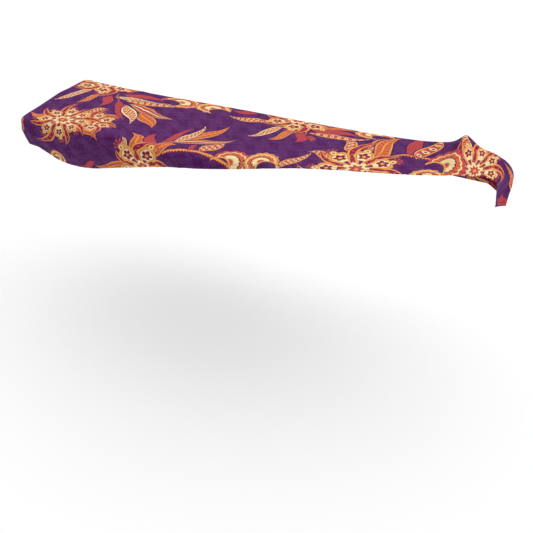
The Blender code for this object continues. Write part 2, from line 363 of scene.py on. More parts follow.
# Soft creases in the cloth, from one place in the flat cut to another. A trough has a negative height
Crease = namedtuple("Crease", "u0 v0 u1 v1 height width")
CREASES = [
    # Pulled from the drawn-back hem
    Crease(-0.34, -0.165, -0.17, 0.015, 0.0016, 0.016),
    Crease(-0.26, -0.175, -0.08, -0.020, -0.0014, 0.014),
    Crease(-0.20, -0.135, -0.02, 0.030, 0.0010, 0.012),
    Crease(-0.06, -0.100, 0.16, 0.015, -0.0012, 0.014),
    Crease(0.10, -0.070, 0.33, 0.030, 0.0012, 0.013),
    Crease(0.24, -0.040, 0.44, 0.060, -0.0014, 0.012),
    # Ripples on the deck
    Crease(-0.30, 0.010, -0.10, 0.035, 0.0010, 0.010),
    Crease(-0.23, 0.045, 0.04, 0.060, -0.0009, 0.011),
    Crease(-0.12, 0.080, 0.12, 0.075, 0.0008, 0.012),
    # From the ridge to the hem and to the deck
    Crease(0.500, 0.120, 0.440, 0.020, -0.0020, 0.014),
    Crease(0.560, 0.060, 0.566, 0.012, 0.0022, 0.010),
    Crease(0.600, 0.110, 0.610, 0.030, -0.0018, 0.013),
    Crease(0.640, 0.100, 0.690, 0.045, 0.0014, 0.012),
    # Down the right end, from its back corner
    Crease(0.660, 0.150, 0.745, 0.110, 0.0016, 0.012),
    Crease(0.690, 0.120, 0.740, 0.080, -0.0013, 0.010),
    # Round the front left corner, where the hem gathers it
    Crease(-0.640, -0.140, -0.690, -0.190, -0.0022, 0.010),
    Crease(-0.600, -0.150, -0.625, -0.215, 0.0018, 0.010),
    Crease(-0.665, -0.110, -0.725, -0.140, 0.0016, 0.010),
    Crease(-0.560, -0.165, -0.570, -0.235, -0.0014, 0.013),
    Crease(-0.500, -0.175, -0.455, -0.245, 0.0014, 0.014),
    Crease(-0.430, -0.175, -0.350, -0.235, -0.0013, 0.014),
    # Round the back left corner
    Crease(-0.640, 0.150, -0.690, 0.200, -0.0022, 0.010),
    Crease(-0.605, 0.165, -0.625, 0.225, 0.0018, 0.010),
    Crease(-0.665, 0.120, -0.720, 0.150, 0.0015, 0.010),
    # Down the back
    Crease(-0.470, 0.165, -0.430, 0.235, 0.0015, 0.014),
    Crease(-0.310, 0.160, -0.330, 0.235, -0.0015, 0.016),
    Crease(-0.120, 0.165, -0.080, 0.235, 0.0013, 0.015),
    Crease(0.090, 0.165, 0.060, 0.230, -0.0013, 0.014),
    Crease(0.240, 0.160, 0.270, 0.215, 0.0014, 0.014),
    Crease(0.410, 0.165, 0.400, 0.215, -0.0016, 0.013),
    Crease(0.500, 0.160, 0.520, 0.235, 0.0018, 0.013),
    Crease(0.600, 0.160, 0.590, 0.225, -0.0018, 0.013),
]
# How deep the creases are drawn, and the share of its length over which each fades at either end
CREASE_DEPTH, CREASE_FADE = 1.7, 0.4
# How far a crease wanders to each side, and the length of its wanderings
CREASE_WANDER, WANDER_LENGTH = 0.004, 0.080
# The elastic draws the hem in to small uneven gathers
GATHER_PITCH, GATHER_HEIGHT, GATHER_REACH = 0.026, 0.0007, 0.022
# The cloth's own unevenness between its creases
SLACK_HEIGHT, SLACK_LENGTH = 0.0006, 0.110


def waves(at, length, seed):
    """A smooth uneven wave between about -1 and 1, the same each run."""
    turns = FULL_TURN * at / length
    shorter = np.sin(turns * 1.618 + 2.7 * seed)
    longer = np.sin(turns * 0.531 + 4.1 * seed)
    return (np.sin(turns + seed) + shorter + longer) / 2.2


def crease_height(crease, flats, seed):
    """How far one crease lifts the cloth at each place in the flat cut."""
    start, end = np.array([crease.u0, crease.v0]), np.array([crease.u1, crease.v1])
    length = float(np.linalg.norm(end - start))
    along_line = (end - start) / length
    off = flats - start
    along = off @ along_line
    across = off @ np.array([-along_line[1], along_line[0]])
    across = across - CREASE_WANDER * waves(along, WANDER_LENGTH, seed)
    fade = CREASE_FADE * length
    ends = smooth(along / fade) * smooth((length - along) / fade)
    return crease.height * ends * np.exp(-((across / crease.width) ** 2))


def cloth_lift(flats, to_hem, along_hem):
    """How far the creases, the slack and the hem's gathers lift the cloth along its normal."""
    lift = CREASE_DEPTH * sum(crease_height(crease, flats, 1.3 * k) for k, crease in enumerate(CREASES))
    slack = waves(flats[:, 0] + 0.4 * flats[:, 1], SLACK_LENGTH, 0.6)
    slack = slack * waves(flats[:, 1] - 0.3 * flats[:, 0], SLACK_LENGTH, 2.2)
    uneven = 0.6 + 0.4 * waves(along_hem, 7.0 * GATHER_PITCH, 1.1)
    gathers = GATHER_HEIGHT * uneven * waves(along_hem, GATHER_PITCH, 0.3)
    return lift + SLACK_HEIGHT * slack + gathers * (1.0 - smooth(to_hem / GATHER_REACH))


def hem_loop(faces):
    """The points of the sheet's edge, in order, with the cloth on their left."""
    after = {}
    for face in faces:
        for a, b in zip(face, face[1:] + face[:1]):
            after[(a, b)] = b
    edge = {a: b for a, b in after if (b, a) not in after}
    loop = [min(edge)]
    while edge[loop[-1]] != loop[0]:
        loop.append(edge[loop[-1]])
    return loop


def along_loop(points, loop):
    """How far round the hem each point of its loop lies, with the whole length last."""
    edge = points[loop + loop[:1]]
    return np.concatenate([[0.0], np.cumsum(np.linalg.norm(np.diff(edge, axis=0), axis=1))])


def hem_places(points, loop):
    """Each point's distance to the hem, and how far round the hem its nearest point lies."""
    lengths = along_loop(points, loop)
    tree = KDTree(len(loop))
    for k, p in enumerate(loop):
        tree.insert(Vector(points[p]), k)
    tree.balance()
    found = (tree.find(Vector(p)) for p in points)
    return np.array([(distance, lengths[k]) for _, k, distance in found]).T


def face_normals(points, faces):
    """Each face's corners, and its normal, which is twice as long as the face's area."""
    quads = np.array([face if len(face) == 4 else face + face[-1:] for face in faces])
    one = points[quads[:, 2]] - points[quads[:, 0]]
    other = points[quads[:, 3]] - points[quads[:, 1]]
    return quads, np.cross(one, other)


def sheet_area(points, faces):
    across = face_normals(points, faces)[1]
    return float(np.linalg.norm(across, axis=1).sum() / 2.0)


def point_normals(points, faces):
    """The outward normal at each point, from the faces round it."""
    quads, across = face_normals(points, faces)
    normals = np.zeros_like(points)
    for k in range(4):
        np.add.at(normals, quads[:, k], across)
    return normals / np.linalg.norm(normals, axis=1, keepdims=True)


def for_all(values, loop):
    """The face's values, again for the reverse, and the edge's for each ring between the two."""
    return np.concatenate([values, values] + [values[loop]] * (RIM_STEPS - 1))


def thick_sheet(points, faces, loop, to_hem):
    """Gives the sheet its reverse and a round edge.

    It returns the points, how much each one is on the reverse, and the faces."""
    normals = point_normals(points, faces)
    hem = 1.0 - smooth((to_hem - HEM_WIDTH) / HEM_EASE + 1.0)
    thickness = CLOTH_THICKNESS + (HEM_THICKNESS - CLOTH_THICKNESS) * hem
    inner = points - normals * thickness[:, None]
    count = len(points)
    edge, up = points[loop], normals[loop]
    ahead = np.roll(edge, -1, axis=0) - np.roll(edge, 1, axis=0)
    outward = np.cross(ahead, up)
    outward /= np.linalg.norm(outward, axis=1, keepdims=True)
    middle = (edge + inner[loop]) / 2.0
    half = thickness[loop][:, None] / 2.0
    rings = [list(loop)]
    rim_points = []
    for step in range(1, RIM_STEPS):
        angle = math.pi * step / RIM_STEPS
        rim_points.append(middle + half * (math.cos(angle) * up + math.sin(angle) * outward))
        first = 2 * count + (step - 1) * len(loop)
        rings.append(list(range(first, first + len(loop))))
    rings.append([p + count for p in loop])
    closed = list(faces) + [[p + count for p in reversed(face)] for face in faces]
    for one, other in zip(rings, rings[1:]):
        for k in range(len(loop)):
            after = (k + 1) % len(loop)
            closed.append([one[after], one[k], other[k], other[after]])
    shares = np.arange(1, RIM_STEPS) / RIM_STEPS
    reverse = np.concatenate([np.zeros(count), np.ones(count), np.repeat(shares, len(loop))])
    return np.concatenate([points, inner] + rim_points), reverse, closed


# The layout's shares: the margin, the height of each side of the cloth, and the edge's strip
MAP_MARGIN, LAYER_SHARE = 0.008, 0.474
STRIP_START, STRIP_SHARE = 0.976, 0.016


def bake_map(flats, faces, lengths):
    """A place for each face corner where nothing overlaps: the face, the reverse, then the edge's strip."""
    low, high = flats.min(axis=0), flats.max(axis=0)
    laid = MAP_MARGIN + (flats - low) / (high - low) * (1.0 - 2.0 * MAP_MARGIN, LAYER_SHARE)
    outer = laid[[p for face in faces for p in face]]
    inner = laid[[p for face in faces for p in reversed(face)]] + (0.0, LAYER_SHARE + MAP_MARGIN)
    along = MAP_MARGIN + lengths / lengths[-1] * (1.0 - 2.0 * MAP_MARGIN)
    here, after = along[:-1], along[1:]
    strips = []
    for step in range(RIM_STEPS):
        start = np.full_like(here, STRIP_START + STRIP_SHARE * step / RIM_STEPS)
        end = start + STRIP_SHARE / RIM_STEPS
        corners = ((after, start), (here, start), (here, end), (after, end))
        strips.append(np.stack([np.column_stack(corner) for corner in corners], axis=1).reshape(-1, 2))
    return np.concatenate([outer, inner] + strips)


def store(mesh, name, values):
    """Keeps one number for each point of a mesh, for its material to read."""
    mesh.attributes.new(name, "FLOAT", "POINT").data.foreach_set("value", values.astype(np.float32))


def lay_out(mesh, name, places):
    """Keeps a place in a flat layout for each corner of a mesh's faces."""
    mesh.uv_layers.new(name=name).data.foreach_set("uv", places.astype(np.float32).ravel())


def link(name, data):
    """Puts a mesh, a camera or a lamp in the scene."""
    thing = bpy.data.objects.new(name, data)
    bpy.context.scene.collection.objects.link(thing)
    return thing


def build_cloth():
    points, flats, faces = outer_sheet()
    loop = hem_loop(faces)
    to_hem, along_hem = hem_places(points, loop)
    lift = cloth_lift(flats, to_hem, along_hem)
    points = points + point_normals(points, faces) * lift[:, None]
    cloth_area = sheet_area(points, faces)
    all_points, reverse, closed = thick_sheet(points, faces, loop, to_hem)
    mesh = bpy.data.meshes.new("cloth")
    mesh.from_pydata(all_points, [], closed)
    mesh.shade_smooth()
    corners = np.zeros(len(mesh.loops), dtype=np.int32)
    mesh.loops.foreach_get("vertex_index", corners)
    lay_out(mesh, "FlatCut", for_all(flats, loop)[corners])
    lay_out(mesh, "OFBake", bake_map(flats, faces, along_loop(points, loop)))
    store(mesh, "to_hem", for_all(to_hem, loop))
    store(mesh, "along_hem", for_all(along_hem, loop))
    store(mesh, "reverse", reverse)
    return link("printed_cloth", mesh), cloth_area


# The print
class Field:
    """A number that a material works out at each point of the cloth. Sums of fields add Math nodes."""

    def __init__(self, tree, socket):
        self.tree, self.socket = tree, socket

    def math(self, operation, *values):
        node = self.tree.nodes.new("ShaderNodeMath")
        node.operation = operation
        for into, value in zip(node.inputs, (self, *values)):
            feed(into, value)
        return Field(self.tree, node.outputs[0])

    def __add__(self, other):
        return self.math("ADD", other)

    def __sub__(self, other):
        return self.math("SUBTRACT", other)

    def __rsub__(self, other):
        return self.math("MULTIPLY_ADD", -1.0, other)

    def __mul__(self, other):
        return self.math("MULTIPLY", other)

    def __truediv__(self, other):
        return self.math("DIVIDE", other)

    def __lt__(self, limit):
        return self.math("LESS_THAN", limit)

    def __gt__(self, limit):
        return self.math("GREATER_THAN", limit)

    __radd__, __rmul__ = __add__, __mul__

    def size(self):
        return self.math("ABSOLUTE")

    def power(self, exponent):
        return self.math("POWER", exponent)

    def sine(self):
        return self.math("SINE")

    def cosine(self):
        return self.math("COSINE")

    def least(self, other):
        return self.math("MINIMUM", other)

    def most(self, other):
        return self.math("MAXIMUM", other)

    def near(self, value, reach):
        """1 within the reach of a value, and 0 elsewhere."""
        return self.math("COMPARE", value, reach)

    def folded(self, half):
        """Brings the number between -half and half, by whole turns of twice that."""
        return self.math("WRAP", half, -half)

    def angle_over(self, x):
        """The angle at which the point (x, this number) lies."""
        return self.math("ARCTAN2", x)

    def span(self, other):
        """The length of the line from the origin to the point (this number, other)."""
        return (self * self + other * other).math("SQRT")


def feed(socket, value):
    """Gives an input a number, a colour or what a field works out."""
    if isinstance(value, Field):
        value.tree.links.new(value.socket, socket)
    else:
        socket.default_value = value


def bands(field, *stops):
    """Colours by a field from 0 to 1: each stop's colour up to its end."""
    node = field.tree.nodes.new("ShaderNodeValToRGB")
    ramp = node.color_ramp
    ramp.interpolation = "CONSTANT"
    start = 0.0
    for k, (colour, end) in enumerate(stops):
        element = ramp.elements[k] if k < 2 else ramp.elements.new(1.0)
        element.position, element.color = start, colour
        start = end
    feed(node.inputs[0], field)
    return Field(field.tree, node.outputs[0])


def laid_over(under, colour, mask):
    """One colour laid over another where the mask is 1."""
    node = mask.tree.nodes.new("ShaderNodeMix")
    node.data_type = "RGBA"
    feed(node.inputs[0], mask)
    feed(node.inputs[6], under)
    feed(node.inputs[7], colour)
    return Field(mask.tree, node.outputs[2])


def printed(red, green, blue):
    """A colour as a screen shows it, from 0 to 255, in the shader's own numbers."""
    shares = (value / 255.0 for value in (red, green, blue))
    return (*(s / 12.92 if s <= 0.04045 else ((s + 0.055) / 1.055) ** 2.4 for s in shares), 1.0)


CREAM = printed(255, 231, 172)
YELLOW = printed(244, 176, 86)
ORANGE = printed(226, 118, 60)
CORAL = printed(205, 82, 78)
MAGENTA = printed(149, 28, 76)
PEACH = printed(238, 150, 98)
PURPLE = printed(87, 27, 95)
LILAC = printed(127, 79, 138)

# The kinds of leaf, by their number
SPECKLED, HATCHED, SOLID, SERRATED, RINGED, EYED = range(6)
# A leaf from its base to its tip in the flat cut. With a negative width it bends to its other side
Leaf = namedtuple("Leaf", "u0 v0 u1 v1 width kind")
LEAVES = [
    # From the flower at the back left
    Leaf(-0.457, 0.094, -0.315, 0.098, 0.026, SOLID),
    Leaf(-0.482, 0.126, -0.395, 0.140, 0.018, HATCHED),
    Leaf(-0.464, 0.066, -0.277, 0.088, -0.024, SPECKLED),
    Leaf(-0.415, 0.050, -0.240, 0.092, -0.026, RINGED),
    Leaf(-0.391, 0.038, -0.214, 0.006, -0.030, SERRATED),
    Leaf(-0.327, 0.004, -0.242, -0.063, 0.034, HATCHED),
    Leaf(-0.396, 0.028, -0.318, -0.060, 0.037, SPECKLED),
    Leaf(-0.480, 0.070, -0.476, -0.007, 0.036, SOLID),
    Leaf(-0.440, 0.044, -0.346, -0.044, -0.024, SOLID),
    Leaf(-0.566, 0.095, -0.634, -0.018, 0.028, SPECKLED),
    Leaf(-0.521, 0.064, -0.555, -0.009, 0.026, HATCHED),
    # From the flower at the front hem
    Leaf(-0.216, -0.170, -0.272, -0.102, -0.040, HATCHED),
    Leaf(-0.262, -0.178, -0.286, -0.132, -0.022, SPECKLED),
    Leaf(-0.188, -0.146, -0.206, -0.076, 0.038, SOLID),
    Leaf(-0.168, -0.118, -0.128, -0.018, 0.019, SOLID),
    Leaf(-0.153, -0.104, 0.010, -0.030, -0.022, SERRATED),
    Leaf(-0.136, -0.101, -0.107, 0.003, -0.028, SPECKLED),
    Leaf(-0.114, -0.080, -0.044, 0.027, -0.028, HATCHED),
    Leaf(-0.050, -0.117, -0.022, -0.044, -0.034, EYED),
    Leaf(-0.184, -0.158, -0.119, -0.112, 0.034, HATCHED),
    Leaf(-0.082, -0.124, -0.070, -0.090, 0.016, SOLID),
    Leaf(-0.268, -0.207, -0.385, -0.234, 0.026, HATCHED),
    Leaf(-0.382, -0.227, -0.443, -0.250, 0.018, SOLID),
    # From the flower at the middle of the back
    Leaf(0.086, 0.082, 0.020, -0.002, 0.026, SPECKLED),
    Leaf(0.121, 0.072, 0.081, 0.003, 0.026, HATCHED),
    Leaf(0.034, 0.090, -0.087, 0.088, 0.026, RINGED),
    Leaf(-0.020, 0.128, -0.099, 0.127, 0.020, SOLID),
    Leaf(0.150, 0.068, 0.150, 0.017, 0.036, SOLID),
    Leaf(0.168, 0.059, 0.193, 0.035, 0.016, SOLID),
    Leaf(0.159, 0.098, 0.290, 0.104, 0.024, SOLID),
    Leaf(0.171, 0.120, 0.275, 0.128, 0.014, HATCHED),
    Leaf(0.162, 0.074, 0.326, 0.104, -0.024, RINGED),
    # From the flower at the slant hem, and towards the right end
    Leaf(0.335, 0.048, 0.368, 0.122, 0.028, SERRATED),
    Leaf(0.366, 0.024, 0.394, 0.132, 0.050, HATCHED),
    Leaf(0.170, -0.116, 0.214, -0.022, -0.026, RINGED),
    Leaf(0.284, -0.028, 0.206, -0.024, -0.030, EYED),
    Leaf(0.310, 0.022, 0.258, 0.078, -0.034, EYED),
    Leaf(0.436, 0.060, 0.456, 0.150, 0.040, SOLID),
    Leaf(0.460, 0.052, 0.486, 0.152, -0.038, EYED),
    Leaf(0.601, 0.060, 0.548, 0.150, 0.034, SPECKLED),
    Leaf(0.736, 0.128, 0.654, 0.119, 0.022, HATCHED),
    Leaf(0.768, 0.116, 0.729, 0.107, 0.026, SOLID),
    # Out of the flower at the front left
    Leaf(-0.470, -0.086, -0.350, -0.043, 0.034, SERRATED),
    Leaf(-0.485, -0.070, -0.430, -0.010, 0.030, RINGED),
    Leaf(-0.525, -0.110, -0.642, -0.098, 0.024, HATCHED),
    Leaf(-0.440, -0.120, -0.358, -0.158, 0.022, HATCHED),
    # At the left end and round the back
    Leaf(-0.635, -0.137, -0.665, -0.167, 0.020, HATCHED),
    Leaf(-0.650, 0.020, -0.712, 0.075, 0.030, SPECKLED),
    Leaf(-0.655, -0.020, -0.715, -0.075, 0.030, SERRATED),
    Leaf(-0.640, 0.190, -0.700, 0.160, 0.030, SOLID),
    Leaf(-0.480, 0.190, -0.400, 0.235, 0.032, HATCHED),
    Leaf(-0.450, 0.165, -0.345, 0.180, 0.024, RINGED),
    Leaf(-0.150, 0.190, -0.030, 0.170, -0.026, SERRATED),
    Leaf(-0.140, 0.225, -0.045, 0.240, 0.026, SPECKLED),
    Leaf(-0.060, 0.205, 0.015, 0.185, 0.028, SOLID),
    Leaf(0.190, 0.180, 0.290, 0.160, -0.026, HATCHED),
    Leaf(0.160, 0.205, 0.265, 0.235, 0.026, RINGED),
    Leaf(0.540, 0.195, 0.630, 0.170, 0.028, SPECKLED),
    Leaf(0.500, 0.185, 0.560, 0.165, 0.018, SERRATED),
    Leaf(0.630, 0.215, 0.715, 0.180, 0.032, SOLID),
    Leaf(0.560, 0.235, 0.640, 0.240, 0.024, HATCHED),
]

Motif = namedtuple("Motif", "u v length width kind turn", defaults=[0.0])
# A flower's kind is its number of petals and, as the part of one, how far it is turned
FLOWERS = [
    Motif(-0.425, -0.088, 0.200, 0.150, 7.40),
    Motif(-0.510, -0.108, 0.260, 0.206, 8.86),
    Motif(-0.561, 0.135, 0.280, 0.180, 6.39),
    Motif(0.101, 0.134, 0.260, 0.170, 6.17),
    Motif(-0.218, -0.204, 0.230, 0.186, 5.48),
    Motif(0.349, -0.053, 0.290, 0.290, 7.44),
    Motif(0.601, 0.046, 0.160, 0.300, 8.68),
    Motif(-0.240, 0.225, 0.260, 0.160, 6.80),
    Motif(0.430, 0.222, 0.260, 0.160, 7.40),
]
# Crescents. One with a negative length is the other way round
SCROLLS = [
    Motif(0.048, -0.130, 0.110, 0.106, 1),
    Motif(0.125, -0.106, -0.090, 0.094, 2),
    Motif(0.536, 0.035, 0.096, 0.106, 1),
    Motif(0.515, -0.026, -0.090, 0.080, 2),
    Motif(-0.265, 0.112, 0.140, 0.076, 1),
    Motif(-0.155, 0.112, -0.116, 0.064, 2),
    Motif(0.323, 0.128, -0.110, 0.044, 2),
    Motif(-0.523, -0.240, 0.060, 0.050, 2),
]
# Bent bands, from one end to the other over the middle of their bow. Their kind is how thin they are
STEMS = [
    Motif(-0.050, -0.142, 0.220, 0.097, 1.1, 2.0),
    Motif(0.462, 0.021, 0.214, 0.180, 2.0),
    Motif(-0.428, 0.052, 0.120, -0.050, 1.8, -36.0),
    Motif(0.170, 0.060, 0.070, -0.030, 1.1, -50.0),
    Motif(0.560, 0.205, 0.170, 0.060, 1.0, 10.0),
]

# A motif's kind is the third number of its places, at this step for each kind
KIND_STEP = 0.001
# How many points round a motif are tried against another motif
TRIED_POINTS = 48
# A place outside every motif
OUTSIDE = (9.0, 9.0, 0.0)
# How far the print's lines are shifted, and how closely the shift changes along the cloth
HAND_SHIFT, HAND_SCALE = 0.012, 22.0
FROND_STRENGTH = 0.36


def turned_about(flat, u, v, degrees):
    node = flat.tree.nodes.new("ShaderNodeVectorRotate")
    node.rotation_type = "Z_AXIS"
    feed(node.inputs["Vector"], flat)
    feed(node.inputs["Center"], (u, v, 0.0))
    feed(node.inputs["Angle"], math.radians(degrees))
    return Field(flat.tree, node.outputs[0])


def vector_math(operation, field, *values):
    node = field.tree.nodes.new("ShaderNodeVectorMath")
    node.operation = operation
    for into, value in zip(node.inputs, (field, *values)):
        feed(into, value)
    return Field(field.tree, node.outputs["Value" if operation == "LENGTH" else "Vector"])


def parts_of(place):
    """The three numbers of a place."""
    node = place.tree.nodes.new("ShaderNodeSeparateXYZ")
    feed(node.inputs[0], place)
    return [Field(place.tree, output) for output in node.outputs]


def own_places(flat, motifs):
    """Each motif's own x and y, which reach 1 at its ellipse's edge, and its kind."""
    place = OUTSIDE
    for motif in motifs:
        own = turned_about(flat, motif.u, motif.v, -motif.turn) if motif.turn else flat
        a, b = 2.0 / motif.length, 2.0 / motif.width
        shift = (-a * motif.u, -b * motif.v, KIND_STEP * motif.kind)
        own = vector_math("MULTIPLY_ADD", own, (a, b, 1.0), shift)
        inside = vector_math("LENGTH", own) < 1.0
        choice = flat.tree.nodes.new("ShaderNodeMix")
        choice.data_type = "VECTOR"
        feed(choice.inputs[0], inside)
        feed(choice.inputs[4], place)
        feed(choice.inputs[5], own)
        place = Field(flat.tree, choice.outputs[1])
    x, y, kind = parts_of(place)
    return x, y, kind * (1.0 / KIND_STEP)


def leaf_motif(leaf):
    """The ellipse round a leaf, which its bend needs to be wider than the leaf."""
    across, along = leaf.v1 - leaf.v0, leaf.u1 - leaf.u0
    turn = math.degrees(math.atan2(across, along))
    middle = (leaf.u0 + leaf.u1) / 2.0, (leaf.v0 + leaf.v1) / 2.0
    return Motif(*middle, 1.02 * math.hypot(across, along), 2.0 * leaf.width, leaf.kind, turn)


def meet(one, other):
    """Whether two motifs' ellipses share ground, tried at points of each."""
    for motif, second in ((one, other), (other, one)):
        for step in range(TRIED_POINTS):
            angle = FULL_TURN * step / TRIED_POINTS
            for share in (0.0, 0.5, 1.0):
                own = Vector((motif.length * math.cos(angle), abs(motif.width) * math.sin(angle)))
                own.rotate(Matrix.Rotation(math.radians(motif.turn), 2))
                seen = own * share / 2.0 + Vector((motif.u - second.u, motif.v - second.v))
                seen.rotate(Matrix.Rotation(-math.radians(second.turn), 2))
                if math.hypot(seen.x / second.length, seen.y / second.width) < 0.5:
                    return True
    return False


def dealt(motifs):
    """Deals motifs into as few layers as keep those of a layer apart."""
    layers = []
    for motif in motifs:
        for layer in layers:
            if not any(meet(motif, other) for other in layer):
                layer.append(motif)
                break
        else:
            layers.append([motif])
    return layers


# A leaf's half width at its middle, and how much of it goes from the tip to the base
LEAF_HALF, LEAF_TAPER = 0.48, 0.24
# How far its vein bows, and how much more of the bow lies towards the tip
LEAF_BOW, LEAF_LEAN = 0.24, 0.46
# The depth of a serrated leaf's teeth, and the width of the ground kept clear round a leaf
TOOTH_DEPTH, LEAF_GAP = 0.35, 0.09


def leaf_layer(under, flat, motifs):
    """Bent leaves. x is -1 at the base and 1 at the tip, and q is 0 at the vein and 1 at the edge."""
    x, y, kind = own_places(flat, motifs)
    bow = 1.0 - x * x
    teeth = (x * 10.0).folded(0.5) * kind.near(SERRATED, 0.5) * TOOTH_DEPTH
    half = bow * (LEAF_HALF - LEAF_TAPER * x) * (1.0 + teeth)
    across = y - bow * (LEAF_BOW + LEAF_LEAN * x)
    q = across.size() / half
    body = (half > across.size()) * (bow > 0.0)
    gap = (half + LEAF_GAP > across.size()) * (bow > 0.0)
    speckles = (x * 30.0).sine() * (across * 15.0).cosine()
    veins = ((x * 30.0 - q * 4.0).sine()) > 0.45
    ring = ((x * (4.5 - 1.5 * kind.near(EYED, 0.5))).folded(0.5) * 2.4).span(q * 1.15)
    speckled = bands(q, (PEACH, 0.58), (CORAL, 0.70), (CREAM, 1.0))
    speckled = laid_over(speckled, CREAM, (speckles > 0.45) * (q < 0.6))
    speckled = laid_over(speckled, MAGENTA, (speckles < -0.50) * (q < 0.6))
    hatched = laid_over(ORANGE, CORAL, veins)
    hatched = laid_over(hatched, YELLOW, (q < 0.09).most(q > 0.80))
    mesh = speckles.size() < 0.30
    solid = laid_over(CORAL, MAGENTA, mesh * 0.60)
    serrated = bands(q, (CREAM, 0.16), (MAGENTA, 0.34), (CORAL, 0.72), (YELLOW, 1.0))
    ringed = bands(ring, (MAGENTA, 0.30), (CREAM, 0.66), (CORAL, 1.0))
    ringed = laid_over(ringed, YELLOW, q > 0.72)
    colour = speckled
    for number, finish in ((HATCHED, hatched), (SOLID, solid), (SERRATED, serrated)):
        colour = laid_over(colour, finish, kind.near(number, 0.5))
    colour = laid_over(colour, ringed, kind > RINGED - 0.5)
    under = laid_over(under, PURPLE, gap)
    return laid_over(under, colour, body)


# How far the sepals sweep round, and their half width; how far out and how large the badges are; and
# the size of the flower's heart. A flower's radius is 1
SWEEP, SEPAL_HALF = 0.70, 0.42
BADGE_OUT, BADGE_SIZE = 0.47, 1.14
HEART_SIZE = 0.15


def flower_layer(under, flat, motifs):
    """Pointed sepals that sweep round, and between them badges, each with a small flower and a tuft."""
    x, y, kind = own_places(flat, motifs)
    r = x.span(y)
    petals = kind.math("FLOOR")
    turns = y.angle_over(x) * petals / FULL_TURN - kind
    swept = turns + r * r * r * SWEEP
    a = swept.folded(0.5)
    number = swept - a
    along = r / (0.90 + 0.10 * (number * 2.4 + kind).sine())
    half = (1.0 - along).most(0.0).power(0.75) * SEPAL_HALF
    q = a.size() / half.most(0.001)
    sepals = bands(q, (MAGENTA, 0.46), (CORAL, 0.56), (YELLOW, 0.86), (ORANGE, 1.0))
    sepals = laid_over(sepals, CORAL, ((r * 52.0).sine() > 0.3) * (q < 0.22))
    colour = laid_over(under, sepals, q < 1.0)
    b = (turns + 0.5 + SWEEP * BADGE_OUT ** 3).folded(0.5)
    swing = b * FULL_TURN / petals
    size = petals.most(1.0).power(-1.0) * BADGE_SIZE
    out, off = r * swing.cosine() - BADGE_OUT, r * swing.sine()
    edge = out.most(0.0).span(off) / ((r / BADGE_OUT).least(1.0).power(1.7) * size)
    round_it = off.angle_over(out)
    scallop = 1.0 + 0.18 * (round_it * 3.5).cosine().size()
    badge = bands(edge / 1.2, (CREAM, 0.64), (CORAL, 0.71), (YELLOW, 0.90), (ORANGE, 1.0))
    blossom = out.span(off) / (size * (0.36 + 0.30 * (round_it * 2.5).cosine().size()))
    badge = laid_over(badge, MAGENTA, (r < 0.30) * (edge < 0.60))
    badge = laid_over(badge, MAGENTA, blossom < 1.0)
    badge = laid_over(badge, YELLOW, blossom < 0.34)
    colour = laid_over(colour, badge, edge < scallop)
    crown = (out - size * 1.12).span(off) / (size * 0.40)
    colour = laid_over(colour, bands(crown, (CORAL, 0.34), (CREAM, 0.62), (YELLOW, 1.0)), crown < 1.0)
    from_tuft = out - size * 1.35
    rays = (off.angle_over(from_tuft) * 10.0).cosine() > 0.0
    tuft = rays * (from_tuft > 0.0) * from_tuft.span(off).near(size * 0.50, size * 0.28)
    colour = laid_over(colour, CORAL, tuft)
    heart = r / (HEART_SIZE + 0.030 * (turns * FULL_TURN).cosine())
    middle = bands(heart / 1.3, (YELLOW, 0.20), (CORAL, 0.62), (CREAM, 1.0))
    colour = laid_over(colour, middle, heart < 1.3)
    return laid_over(under, colour, r < 1.0)


def scroll_layer(under, flat):
    """Crescents with a scalloped back and a plume in their bow."""
    x, y, kind = own_places(flat, SCROLLS)
    angle = y.angle_over(x)
    r = x.span(y) / (0.90 + 0.09 * (angle * 7.0).cosine().size())
    teeth = r + 0.11 * (angle * 2.4).folded(0.5)
    hollow = (x + 0.50).span(y + 0.42) / 0.56
    back = bands(teeth, (CORAL, 0.20), (CREAM, 0.50), (MAGENTA, 1.0))
    band = bands(r, (MAGENTA, 0.56), (ORANGE, 0.76), (CREAM, 0.83), (CORAL, 1.0))
    band = laid_over(band, YELLOW, (r > 0.83) * kind.near(2.0, 0.5))
    band = laid_over(band, CORAL, ((angle * 22.0).sine() > 0.3) * r.near(0.66, 0.05))
    band = laid_over(band, CORAL, ((angle * 14.0).cosine() > 0.5) * r.near(0.90, 0.035))
    whole = laid_over(back, band, r > 0.50)
    whole = laid_over(whole, YELLOW, hollow < 1.16)
    return laid_over(under, whole, (r < 1.0) * (hollow > 1.0))


def stem_layer(under, flat):
    """Bent bands with teeth on their inner side."""
    x, y, thin = own_places(flat, STEMS)
    off = y - 0.62 * (1.0 - x * x) + 0.20
    inner = off < 0.0
    teeth = (x * 14.0).folded(0.5).size() * inner
    q = (off.size() * (9.0 - 3.5 * inner) + teeth * 0.9) * thin
    body = bands(q, (YELLOW, 0.50), (ORANGE, 0.80), (CORAL, 1.0))
    body = laid_over(body, MAGENTA, inner * (q > 0.60))
    return laid_over(under, body, (q < 1.0) * (x.size() < 0.97))


def fronds(flat_x, flat_y, turn, pitch, half_width):
    """Feathers of fine strokes in rows, aslant: 1 on a stroke."""
    c, s = math.cos(math.radians(turn)), math.sin(math.radians(turn))
    along = flat_x * (c / pitch) + flat_y * (s / pitch)
    aside = flat_y * (c / (2.0 * half_width)) - flat_x * (s / (2.0 * half_width))
    row = aside.folded(0.5)
    place = (along + (aside - row) * 0.37).folded(0.5)
    bowed = (row + 0.20 * (place * 4.0).sine()).size()
    strokes = (place * 52.0 + bowed * 26.0).sine() > 0.0
    return strokes * (bowed < (0.44 - place.size()))


